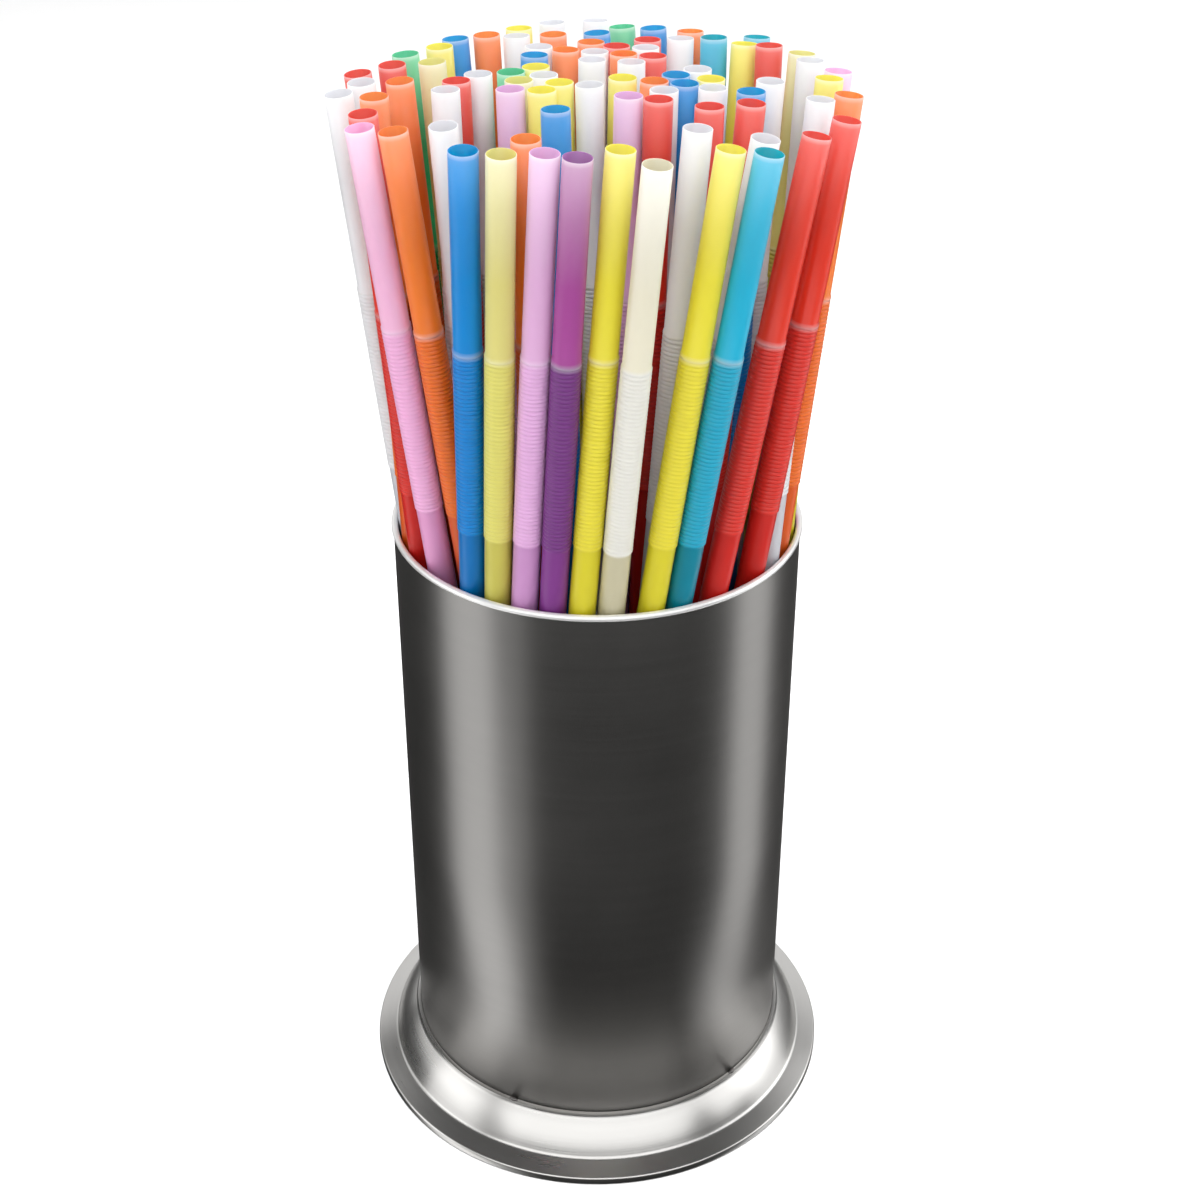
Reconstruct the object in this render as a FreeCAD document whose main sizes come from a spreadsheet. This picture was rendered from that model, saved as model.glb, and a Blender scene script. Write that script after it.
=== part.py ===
"""Straw holder: a steel cup on a flared base, loaded with bendy drinking straws.

Millimetres, +Z up, the origin on the resting plane under the centre of the cup. The front, where
the straws lean out furthest, faces -Y. Every driving size is a cell of the sheet called sizes.
"""

import FreeCAD
import Part

import cmath
import math
import os
import random
import re

import Sketcher
from FreeCAD import Placement, Rotation, Vector

OUTPUT_FOLDER = "parts"

FULL_TURN = 360.0

# How a sketch numbers an edge's ends, its own origin and its axes.
START, END = 1, 2
ORIGIN, X_AXIS, Y_AXIS = -1, -1, -2

# Driving sizes in millimetres and degrees.
DRIVING_SIZES = {
    "cup_diameter": 96.0,
    "cup_sheet": 0.7,
    "cup_height": 160.0,
    "cup_foot_height": 1.2,
    "lip_bead_diameter": 1.6,
    "floor_height": 3.6,
    "floor_sheet": 0.8,
    "floor_flange": 1.4,
    "floor_fit": 0.05,
    "base_diameter": 120.0,
    "base_sheet": 0.8,
    "base_height": 12.4,
    "base_fit": 0.12,
    "collar_height": 1.0,
    "crease_diameter": 109.6,
    "crease_height": 4.2,
    "dome_radius": 8.6,
    "skirt_angle": 23.0,
    "rim_round": 1.2,
    "hem_width": 2.6,
    "tack_radius": 1.3,
    "tack_height": 1.0,
    "tack_seat": 0.02,
    "straw_diameter": 6.0,
    "straw_sheet": 0.25,
    "straw_length": 260.0,
    "neck_diameter": 6.36,
    "neck_length": 44.0,
    "neck_start": 172.0,
    "straw_gap": 0.3,
    "foot_gap": 0.3,
    "wall_space": 5.4,
    "straw_lift": 168.0,
}

# A straw is a tube of this many flats. A round in a section is drawn as chords that meet at these
# angles, in degrees from the outward direction up.
STRAW_SIDES = 10
BEAD_ANGLES = (20.0, 90.0, 160.0)
DOME_ANGLES = (50.0, 25.0, 0.0)
LINING_ANGLES = (42.0,)
RIM_ANGLES = (0.0, -45.0)

# Tack welds at equal turns round the base, the first at this angle from the front.
TACK_COUNT = 5
FIRST_TACK_ANGLE = -26.0

# The outline of a weld dab: shares of its radius at shares of its height, and its corners.
TACK_OUTLINE = ((1.0, 0.0), (0.82, 0.55), (0.42, 1.0))
TACK_SIDES = 8

# The front row of straws as the photograph shows it: the angle from the front at which each one
# crosses the rim, its distance in from the rim, and its foot on the cup floor, x then y.
FRONT_STRAWS = (
    (-55.9, 1.1, -17.8, -12.2),
    (-47.9, 5.2, -11.4, -13.6),
    (-38.9, 0.0, -29.6, -14.2),
    (-29.9, 0.0, -27.3, -20.2),
    (-21.1, 0.0, -24.6, -26.7),
    (-12.6, 0.0, -18.5, -28.2),
    (-4.0, 0.0, -14.7, -35.7),
    (4.6, 0.0, -7.4, -24.7),
    (16.1, 0.0, -8.6, -37.6),
    (24.6, 0.0, -4.9, -30.8),
    (33.5, 10.9, -5.6, -15.9),
    (36.5, 0.0, -0.3, -38.6),
    (52.9, 0.0, 12.0, -28.3),
)

# The rest of the bundle, in counts, millimetres and degrees. The rim row goes round the back of
# the rim with its feet in two rings, and leans less at the back. The middle row stands inside it,
# and three handfuls of parallel straws fill the centre.
RIM_ROW_COUNT = 26
RIM_ROW_RINGS = (1.0, 9.0)
RIM_ROW_TWIST = 14.0
RIM_ROW_SCATTER = 7.0
RIM_ROW_DEPTH_SCATTER = 1.5
BACK_SLACK = 12.0
MIDDLE_ROW_COUNT = 11
MIDDLE_ROW_FOOT_RADIUS = 22.0
MIDDLE_ROW_RIM_RADIUS = 33.0
MIDDLE_ROW_SCATTER = 3.0
HANDFUL_COUNT = 3
HANDFUL_STRAWS = 12
HANDFUL_RADIUS = 12.5
HANDFUL_SPREAD = 4.4
HANDFUL_LEAN = 0.02
HANDFUL_TWIST = 10.0
GOLDEN_ANGLE = 137.508
SCATTER_SEED = 11

# How the bundle settles: rounds at most, the shortfall in millimetres that counts as settled, how
# far the front row yields beside a free straw, the share of its gap to the rim that a straw
# regains in a round, and the share of a shortfall that a pair is pushed apart by.
SETTLING_ROUNDS = 900
SETTLED_SHORTFALL = 0.02
FRONT_YIELD = 0.1
REGAIN = 0.3
PUSH = 0.55

# Pairs further apart than this many spacings aren't looked at more closely, and no distance is
# divided by that is shorter than the last length here.
FAR_APART = 1.1
NO_LENGTH = 1e-6


class Sizes:
    """The sheet of driving sizes, read by name in code and in expressions."""

    def __init__(self, document):
        self.sheet = document.addObject("Spreadsheet::Sheet", "sizes")
        for row, (alias, value) in enumerate(DRIVING_SIZES.items(), start=1):
            self.sheet.set(f"A{row}", alias)
            self.sheet.set(f"B{row}", str(value))
            self.sheet.setAlias(f"B{row}", alias)
        document.recompute()

    def __getattr__(self, alias):
        return float(self.sheet.get(alias))

    def expression(self, text):
        """Expression text in which each alias points at its cell of the sheet."""
        return re.sub(r"[a-z_]+", lambda word: self.cell(word.group()), text)

    def number(self, text):
        """Present value of an expression that is written with aliases."""
        value = self.sheet.evalExpression(self.expression(text))
        return float(getattr(value, "Value", value))

    @staticmethod
    def cell(word):
        """A word of an expression, with the sheet's name before it where it is an alias."""
        return f"sizes.{word}" if word in DRIVING_SIZES else word


def origin_plane(body, role):
    """One of a body's own origin planes, found by its role."""
    return next(plane for plane in body.Origin.OriginFeatures if plane.Role == role)


def bind(sketch, sizes, constraint, name, text):
    """Add a size constraint to a sketch and tie it to an expression."""
    sketch.renameConstraint(sketch.addConstraint(constraint), name)
    sketch.setExpression(f"Constraints.{name}", sizes.expression(text))


def place_corner(sketch, sizes, index, corner):
    """Tie a corner of a section to its radius and height, or to an axis where one is zero."""
    for kind, text, axis in zip(("DistanceX", "DistanceY"), corner, (Y_AXIS, X_AXIS)):
        if text == "0":
            sketch.addConstraint(Sketcher.Constraint("PointOnObject", index, START, axis))
        else:
            tie = Sketcher.Constraint(kind, ORIGIN, START, index, START, sizes.number(text))
            bind(sketch, sizes, tie, f"{kind}_{index}", text)


def on_round(centre, height, radius, angle):
    """Corner of a section on a round, at an angle in degrees from the outward direction up."""
    return (
        f"{centre} + ({radius}) * cos({angle} * 1 deg)",
        f"{height} + ({radius}) * sin({angle} * 1 deg)",
    )


def turned_body(document, sizes, label, corners):
    """Body of revolution about Z from a closed half section, each corner a radius and a height."""
    body = document.addObject("PartDesign::Body", label)
    sketch = body.newObject("Sketcher::SketchObject", f"{label}_section")
    sketch.AttachmentSupport = [(origin_plane(body, "XZ_Plane"), "")]
    sketch.MapMode = "FlatFace"
    points = [Vector(sizes.number(radius), sizes.number(height), 0) for radius, height in corners]
    for start, end in zip(points, points[1:] + points[:1]):
        sketch.addGeometry(Part.LineSegment(start, end))
    for index, corner in enumerate(corners):
        following = (index + 1) % len(corners)
        sketch.addConstraint(Sketcher.Constraint("Coincident", index, END, following, START))
        place_corner(sketch, sizes, index, corner)
    turn = body.newObject("PartDesign::Revolution", f"{label}_turn")
    turn.Profile = sketch
    turn.ReferenceAxis = (sketch, ["V_Axis"])
    turn.Angle = FULL_TURN
    body.Tip = turn
    return body


def bound(document, sizes, kind, label, ties):
    """Primitive whose properties are tied to expressions."""
    item = document.addObject(kind, label)
    for path, text in ties.items():
        item.setExpression(path, sizes.expression(text))
    return item


def joined(document, kind, label, base, tool):
    """Boolean of two objects."""
    item = document.addObject(kind, label)
    item.Base = base
    item.Tool = tool
    return item


def add_cup_wall(document, sizes):
    """Straight tube of steel sheet whose top edge is rolled into a small bead."""
    outside = "cup_diameter / 2"
    inside = "cup_diameter / 2 - cup_sheet"
    bead = "lip_bead_diameter / 2"
    bead_height = f"cup_height - {bead}"
    neck = f"{bead_height} - sqrt(({bead}) ^ 2 - (cup_sheet / 2) ^ 2)"
    roll = [on_round("cup_diameter / 2 - cup_sheet / 2", bead_height, bead, angle) for angle in BEAD_ANGLES]
    return turned_body(document, sizes, "cup_wall", [
        (inside, "cup_foot_height"),
        (outside, "cup_foot_height"),
        (outside, neck),
        *roll,
        (inside, neck),
    ])


def add_cup_floor(document, sizes):
    """Pressed disc with its edge turned down, which closes the lower end of the tube."""
    edge = "cup_diameter / 2 - cup_sheet - floor_fit"
    underside = "floor_height - floor_sheet"
    return turned_body(document, sizes, "cup_floor", (
        ("0", underside),
        (f"{edge} - floor_sheet", underside),
        (f"{edge} - floor_sheet", "floor_height - floor_sheet - floor_flange"),
        (edge, "floor_height - floor_sheet - floor_flange"),
        (edge, "floor_height"),
        ("0", "floor_height"),
    ))


def add_flared_base(document, sizes):
    """Pressed ring: a collar round the cup, a domed shoulder, a crease, a skirt and a rolled rim."""
    collar = "cup_diameter / 2 + base_fit"
    collar_top = "base_height + collar_height"
    dome = "crease_diameter / 2 - dome_radius"
    rim = "base_diameter / 2 - rim_round"
    hem = f"{rim} - hem_width"
    slope = "tan(skirt_angle * 1 deg)"
    drop = "base_sheet / cos(skirt_angle * 1 deg)"
    shoulder = [on_round(dome, "crease_height", "dome_radius", angle) for angle in DOME_ANGLES]
    lining = [
        on_round(dome, "crease_height", "dome_radius - base_sheet", angle) for angle in LINING_ANGLES
    ]
    roll = [on_round(rim, "rim_round", "rim_round", angle) for angle in RIM_ANGLES]
    return turned_body(document, sizes, "flared_base", [
        (collar, "base_height - base_sheet"),
        (collar, collar_top),
        (f"{collar} + base_sheet", collar_top),
        (f"{collar} + base_sheet", "base_height"),
        *shoulder,
        on_round(rim, "rim_round", "rim_round", "(90 - skirt_angle)"),
        *roll,
        (rim, "0"),
        (hem, "0"),
        (hem, f"crease_height - {drop} - ({hem} - crease_diameter / 2) * {slope}"),
        ("crease_diameter / 2 - base_sheet", f"crease_height - {drop} + base_sheet * {slope}"),
        *lining,
    ])


def polygon_wire(radius, height, sides):
    """Level closed outline of equal sides about Z."""
    turns = [math.radians(FULL_TURN * side / sides) for side in range(sides)]
    corners = [Vector(radius * math.cos(turn), radius * math.sin(turn), height) for turn in turns]
    return Part.makePolygon(corners + corners[:1])


def add_tack_welds(document, sizes):
    """Small weld dabs that stand on the collar and hold it to the cup, one group."""
    foot = sizes.base_height + sizes.collar_height + sizes.tack_seat
    wall = Part.makeCylinder(sizes.cup_diameter / 2.0 + sizes.tack_seat, sizes.cup_height)
    centre_radius = sizes.cup_diameter / 2.0 + sizes.base_sheet / 2.0
    levels = [
        polygon_wire(sizes.tack_radius * wide, sizes.tack_height * high, TACK_SIDES)
        for wide, high in TACK_OUTLINE
    ]
    dab = Part.makeLoft(levels, True, True)
    welds = []
    for number in range(TACK_COUNT):
        place = plan(centre_radius, FIRST_TACK_ANGLE + number * FULL_TURN / TACK_COUNT)
        weld = dab.copy()
        weld.translate(Vector(place.real, place.imag, foot))
        welds.append(weld.cut(wall))
    group = document.addObject("Part::Feature", "tack_welds")
    group.Shape = Part.makeCompound(welds)
    return group


def plan(radius, angle):
    """Plan point at a radius and an angle in degrees from the front, turning towards +X."""
    return cmath.rect(radius, math.radians(angle - 90.0))


def dot(first, second):
    """Scalar product of two plan vectors."""
    return (first * second.conjugate()).real


class Stem:
    """Centre line of one straw: its foot in plan, and its lean in plan for each unit of height.

    A stem of a handful keeps its lean, and moves only as a whole. reach is the radius at which a
    stem of the rim row leans on the rim, and give is how readily a stem moves aside.
    """

    def __init__(self, foot, lean, reach=0.0, give=1.0, in_handful=False):
        self.foot = foot
        self.lean = lean
        self.reach = reach
        self.give = give
        self.in_handful = in_handful

    def at(self, height):
        """Plan point of the centre line at a height above the foot."""
        return self.foot + height * self.lean

    def shift(self, move, height, top):
        """Move the stem in plan at one height, by its foot, its top or both."""
        if self.in_handful:
            self.foot += move
            return
        share = min(1.0, height / top)
        scale = (1.0 - share) ** 2 + share ** 2
        foot_move = move * (1.0 - share) / scale
        top_move = move * share / scale
        self.foot += foot_move
        self.lean += (top_move - foot_move) / top

    def turn_to(self, point, height):
        """Lean the stem so that it passes through a plan point at a height."""
        self.lean = (point - self.foot) / height


class Bundle:
    """The straws of the loaded cup, settled so that none of them touches another or the cup."""

    def __init__(self, sizes):
        self.top = sizes.straw_length
        self.reach_up = sizes.straw_length + sizes.straw_lift
        self.neck_foot = sizes.neck_start
        self.tube_spacing = sizes.straw_diameter + sizes.straw_gap
        self.neck_spacing = (sizes.straw_diameter + sizes.neck_diameter) / 2.0 + sizes.straw_gap
        clear = sizes.straw_diameter / 2.0 + sizes.straw_gap
        bead_inside = (sizes.cup_diameter - sizes.cup_sheet - sizes.lip_bead_diameter) / 2.0
        wall_inside = sizes.cup_diameter / 2.0 - sizes.cup_sheet
        self.rim_height = sizes.cup_height - sizes.lip_bead_diameter - sizes.floor_height
        self.rim_limit = bead_inside - clear
        self.foot_limit = wall_inside - sizes.wall_space - clear
        self.top_limit = sizes.base_diameter / 2.0 - clear
        self.random = random.Random(SCATTER_SEED)
        self.single = self.front_row() + self.rim_row() + self.middle_row()
        self.handfuls = [self.handful(number) for number in range(HANDFUL_COUNT)]
        self.stems = self.single + [stem for handful in self.handfuls for stem in handful]

    def leaning(self, foot, rim_point, **options):
        """Stem from a foot through a plan point at the height of the rim."""
        return Stem(foot, (rim_point - foot) / self.rim_height, **options)

    def scatter(self, amount):
        """Random amount either way, the same on every run."""
        return self.random.uniform(-amount, amount)

    def front_row(self):
        """The measured straws at the front of the rim."""
        stems = []
        for angle, inset, foot_x, foot_y in FRONT_STRAWS:
            reach = 0.0 if inset else self.rim_limit
            rim_point = plan(self.rim_limit - inset, angle)
            foot = complex(foot_x, foot_y)
            stems.append(self.leaning(foot, rim_point, reach=reach, give=FRONT_YIELD))
        return stems

    def rim_row(self):
        """Straws that lean on the rest of the rim, their feet by turns in two rings."""
        first = FRONT_STRAWS[-1][0]
        span = FULL_TURN + FRONT_STRAWS[0][0] - first
        stems = []
        for number in range(RIM_ROW_COUNT):
            angle = first + span * (number + 1) / (RIM_ROW_COUNT + 1)
            slack = BACK_SLACK * max(0.0, -math.cos(math.radians(angle)))
            inset = RIM_ROW_RINGS[number % 2] + slack / 2.0 + self.scatter(RIM_ROW_DEPTH_SCATTER)
            foot_angle = angle - RIM_ROW_TWIST + self.scatter(RIM_ROW_SCATTER)
            foot = plan(self.foot_limit - inset, foot_angle)
            reach = self.rim_limit - slack
            stems.append(self.leaning(foot, plan(reach, angle), reach=reach))
        return stems

    def middle_row(self):
        """Straws between the rim row and the centre, standing more upright."""
        stems = []
        for number in range(MIDDLE_ROW_COUNT):
            angle = FULL_TURN * (number + 0.5) / MIDDLE_ROW_COUNT
            foot_radius = MIDDLE_ROW_FOOT_RADIUS + self.scatter(MIDDLE_ROW_SCATTER)
            rim_radius = MIDDLE_ROW_RIM_RADIUS + self.scatter(MIDDLE_ROW_SCATTER)
            rim_angle = angle + self.scatter(RIM_ROW_SCATTER)
            foot = plan(foot_radius, angle - RIM_ROW_TWIST)
            stems.append(self.leaning(foot, plan(rim_radius, rim_angle)))
        return stems

    def handful(self, number):
        """Parallel straws round one point of the centre, spread as the seeds of a flower."""
        angle = FULL_TURN * (number + 0.5) / HANDFUL_COUNT
        centre = plan(HANDFUL_RADIUS, angle)
        lean = plan(HANDFUL_LEAN, angle - HANDFUL_TWIST)
        stems = []
        for seed in range(HANDFUL_STRAWS):
            radius = HANDFUL_SPREAD * math.sqrt(seed + 0.5)
            foot = centre + plan(radius, seed * GOLDEN_ANGLE)
            stems.append(Stem(foot, lean, in_handful=True))
        return stems

    def part_pair(self, first, second):
        """Move two straws apart where they pass too close; returns how much they were short."""
        low = self.part_between(first, second, 0.0, self.neck_foot, self.tube_spacing)
        high = self.part_between(first, second, self.neck_foot, self.reach_up, self.neck_spacing)
        return max(low, high)

    def part_between(self, first, second, bottom, top, spacing):
        """Move two straws apart where they pass too close between two heights."""
        offset = second.foot - first.foot
        drift = second.lean - first.lean
        height = bottom
        if drift:
            nearest = -dot(offset, drift) / dot(drift, drift)
            height = max(bottom, min(top, nearest))
        apart = offset + height * drift
        distance = max(abs(apart), NO_LENGTH)
        if distance > spacing * FAR_APART:
            return 0.0
        side = apart / distance
        lean = (first.lean + second.lean) / 2.0
        foreshortening = 1.0 - dot(side, lean) ** 2 / (1.0 + abs(lean) ** 2)
        shortfall = spacing / math.sqrt(foreshortening) - distance
        if shortfall <= 0.0:
            return 0.0
        push = PUSH * shortfall + SETTLED_SHORTFALL / 10.0
        total = first.give + second.give
        first.shift(-side * push * first.give / total, height, self.top)
        second.shift(side * push * second.give / total, height, self.top)
        return shortfall

    def hold_in_cup(self, stem):
        """Keep a stem off the wall, inside the rim or against it, and over the base at its top."""
        if abs(stem.foot) > self.foot_limit:
            stem.foot *= self.foot_limit / abs(stem.foot)
        if stem.in_handful:
            return
        point = stem.at(self.rim_height)
        radius = abs(point)
        if radius > self.rim_limit:
            stem.turn_to(point * self.rim_limit / radius, self.rim_height)
        elif radius < stem.reach:
            stem.turn_to(point * (1.0 + REGAIN * (stem.reach / radius - 1.0)), self.rim_height)
        point = stem.at(self.top)
        if abs(point) > self.top_limit:
            stem.turn_to(point * self.top_limit / abs(point), self.top)

    def settle(self):
        """Push the straws apart until none is short of its spacing; returns the last shortfall."""
        worst = 0.0
        for _ in range(SETTLING_ROUNDS):
            worst = 0.0
            for index, first in enumerate(self.stems):
                for second in self.stems[index + 1:]:
                    worst = max(worst, self.part_pair(first, second))
            for stem in self.stems:
                self.hold_in_cup(stem)
            if worst < SETTLED_SHORTFALL:
                break
        return worst


def straw_placement(sizes, stem):
    """Placement that stands a straw on the cup floor along its stem, clear by the foot gap."""
    axis = Vector(stem.lean.real, stem.lean.imag, 1.0)
    edge_drop = sizes.straw_diameter / 2.0 * abs(stem.lean) / axis.Length
    foot = stem.at(edge_drop)
    height = sizes.floor_height + sizes.foot_gap + edge_drop
    return Placement(Vector(foot.real, foot.imag, height), Rotation(Vector(0, 0, 1), axis))


def flat_sided(document, sizes, label, ties):
    """Upright prism with as many flats as a straw has, its sizes tied to expressions."""
    prism = bound(document, sizes, "Part::Prism", label, ties)
    prism.Polygon = STRAW_SIDES
    return prism


def add_straw(document, sizes, label, stem, with_neck):
    """Thin tube and, where it shows, its ribbed neck as the slightly wider sleeve that it fills."""
    tube = flat_sided(document, sizes, f"{label}_outside", {
        "Circumradius": "straw_diameter / 2",
        "Height": "straw_length",
    })
    if with_neck:
        neck = flat_sided(document, sizes, f"{label}_neck", {
            "Circumradius": "neck_diameter / 2",
            "Height": "neck_length",
            "Placement.Base.z": "neck_start",
        })
        tube = joined(document, "Part::Fuse", f"{label}_with_neck", tube, neck)
    bore = flat_sided(document, sizes, f"{label}_bore", {
        "Circumradius": "straw_diameter / 2 - straw_sheet",
        "Height": "straw_length",
    })
    straw = joined(document, "Part::Cut", label, tube, bore)
    straw.Placement = straw_placement(sizes, stem)
    return straw


def add_straws(document, sizes):
    """Every straw: the outer ones as pieces of their own, the inner ones in handfuls."""
    bundle = Bundle(sizes)
    shortfall = bundle.settle()
    print(f"bundle of {len(bundle.stems)} straws, last shortfall {shortfall:.3f} mm")
    pieces = []
    for number, stem in enumerate(bundle.single, start=1):
        with_neck = number <= len(FRONT_STRAWS)
        pieces.append(add_straw(document, sizes, f"straw_{number:02d}", stem, with_neck))
    for number, handful in enumerate(bundle.handfuls, start=1):
        straws = []
        for index, stem in enumerate(handful, start=1):
            label = f"handful_{number}_straw_{index}"
            straws.append(add_straw(document, sizes, label, stem, False))
        group = document.addObject("Part::Compound", f"inner_straws_{number}")
        group.Links = straws
        pieces.append(group)
    return pieces


def check_and_export(document, pieces):
    """Stop on any failed object or bad shape, and write each piece to a file of its own."""
    for item in document.Objects:
        if "Invalid" in item.State or "Error" in item.State:
            raise RuntimeError(f"{item.Label} failed: {item.State}")
    os.makedirs(OUTPUT_FOLDER, exist_ok=True)
    for piece in pieces:
        if piece.Shape.isNull() or not piece.Shape.isValid():
            raise RuntimeError(f"{piece.Label} has no valid shape")
        piece.Shape.exportStep(os.path.join(OUTPUT_FOLDER, f"{piece.Label}.step"))
    print(f"{len(pieces)} pieces written")


def main():
    """Build the whole holder in one document and write its pieces."""
    document = FreeCAD.newDocument("straw_holder")
    sizes = Sizes(document)
    adders = (add_cup_wall, add_cup_floor, add_flared_base, add_tack_welds)
    pieces = [add(document, sizes) for add in adders]
    pieces += add_straws(document, sizes)
    document.recompute()
    check_and_export(document, pieces)


main()
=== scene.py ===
"""Straw holder: a brushed steel cup on a flared base, full of bendy drinking straws.

Metres, +Z up, the front facing -Y. Every piece is modelled round the axis that its solid has.
"""

import logging
import math
from dataclasses import dataclass, field
from enum import Enum
from typing import Any, Iterable, Sequence, Union

import bpy
import numpy as np
from mathutils import Matrix, Vector


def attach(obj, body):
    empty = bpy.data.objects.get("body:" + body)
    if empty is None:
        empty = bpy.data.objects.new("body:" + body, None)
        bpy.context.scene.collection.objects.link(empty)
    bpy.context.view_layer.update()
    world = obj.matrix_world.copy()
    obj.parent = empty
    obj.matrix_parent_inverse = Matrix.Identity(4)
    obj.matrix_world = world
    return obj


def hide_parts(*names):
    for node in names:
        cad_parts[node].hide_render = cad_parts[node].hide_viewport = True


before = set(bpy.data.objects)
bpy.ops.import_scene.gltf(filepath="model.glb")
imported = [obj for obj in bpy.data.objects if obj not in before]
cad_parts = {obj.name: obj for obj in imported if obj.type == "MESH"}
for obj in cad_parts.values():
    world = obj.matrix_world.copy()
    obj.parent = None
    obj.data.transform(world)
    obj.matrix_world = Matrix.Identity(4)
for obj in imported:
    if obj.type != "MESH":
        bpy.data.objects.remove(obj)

Point = tuple[float, float]
Triple = tuple[float, float, float]
Colour = tuple[float, float, float]
Value = Union["Wire", float, int, tuple]

MM = 0.001
FULL_TURN = 360.0
HOLDER = "holder"
log = logging.getLogger("straw_holder")

# A ring as small as POLE closes to a point, because corners nearer than WELDED_SHUT are merged.
POLE = 0.01 * MM
WELDED_SHUT = 0.04 * MM

# Sizes of a straw that its finish needs too. STRAW_MIDDLE is the radius halfway through the wall.
STRAW_LENGTH = 260.0 * MM
NECK_START = 172.0 * MM
NECK_LENGTH = 44.0 * MM
STRAW_MIDDLE = 2.88 * MM
STRAW_RECORD = "straw_place"

# How many chords the rounds have, the sides of a weld, and the angle in degrees that stays smooth.
BEAD_STEPS = 14
DOME_STEPS = 14
ROUND_STEPS = 5
BEND_STEPS = 6
WELD_STEPS = 10
WELD_SIDES = 24
SMOOTH_BELOW = 50.0

# Corners of a solid nearer than SAME_CORNER are one. Those within END_BAND of its end belong to it.
SAME_CORNER = 1e-7
END_BAND = 0.0001


# Shader wiring


class Wire:
    """A shader socket that can be used in plain arithmetic."""

    def __init__(self, board: "Board", socket: bpy.types.NodeSocket) -> None:
        """Keep the board that the socket is on."""
        self.board = board
        self.socket = socket

    def __add__(self, other: Value) -> "Wire":
        """Sum of two values."""
        return self.board.sum_of("ADD", self, other)

    __radd__ = __add__

    def __sub__(self, other: Value) -> "Wire":
        """This value less another."""
        return self.board.sum_of("SUBTRACT", self, other)

    def __rsub__(self, other: Value) -> "Wire":
        """Another value less this one."""
        return self.board.sum_of("SUBTRACT", other, self)

    def __mul__(self, other: Value) -> "Wire":
        """Product of two values."""
        return self.board.sum_of("MULTIPLY", self, other)

    __rmul__ = __mul__

    def __pow__(self, other: Value) -> "Wire":
        """This value raised to a power."""
        return self.board.sum_of("POWER", self, other)


@dataclass(frozen=True)
class Texture:
    """How a noise looks: features for each metre along each axis, finer layers, their strength."""

    scale: Triple
    detail: float
    roughness: float


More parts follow.
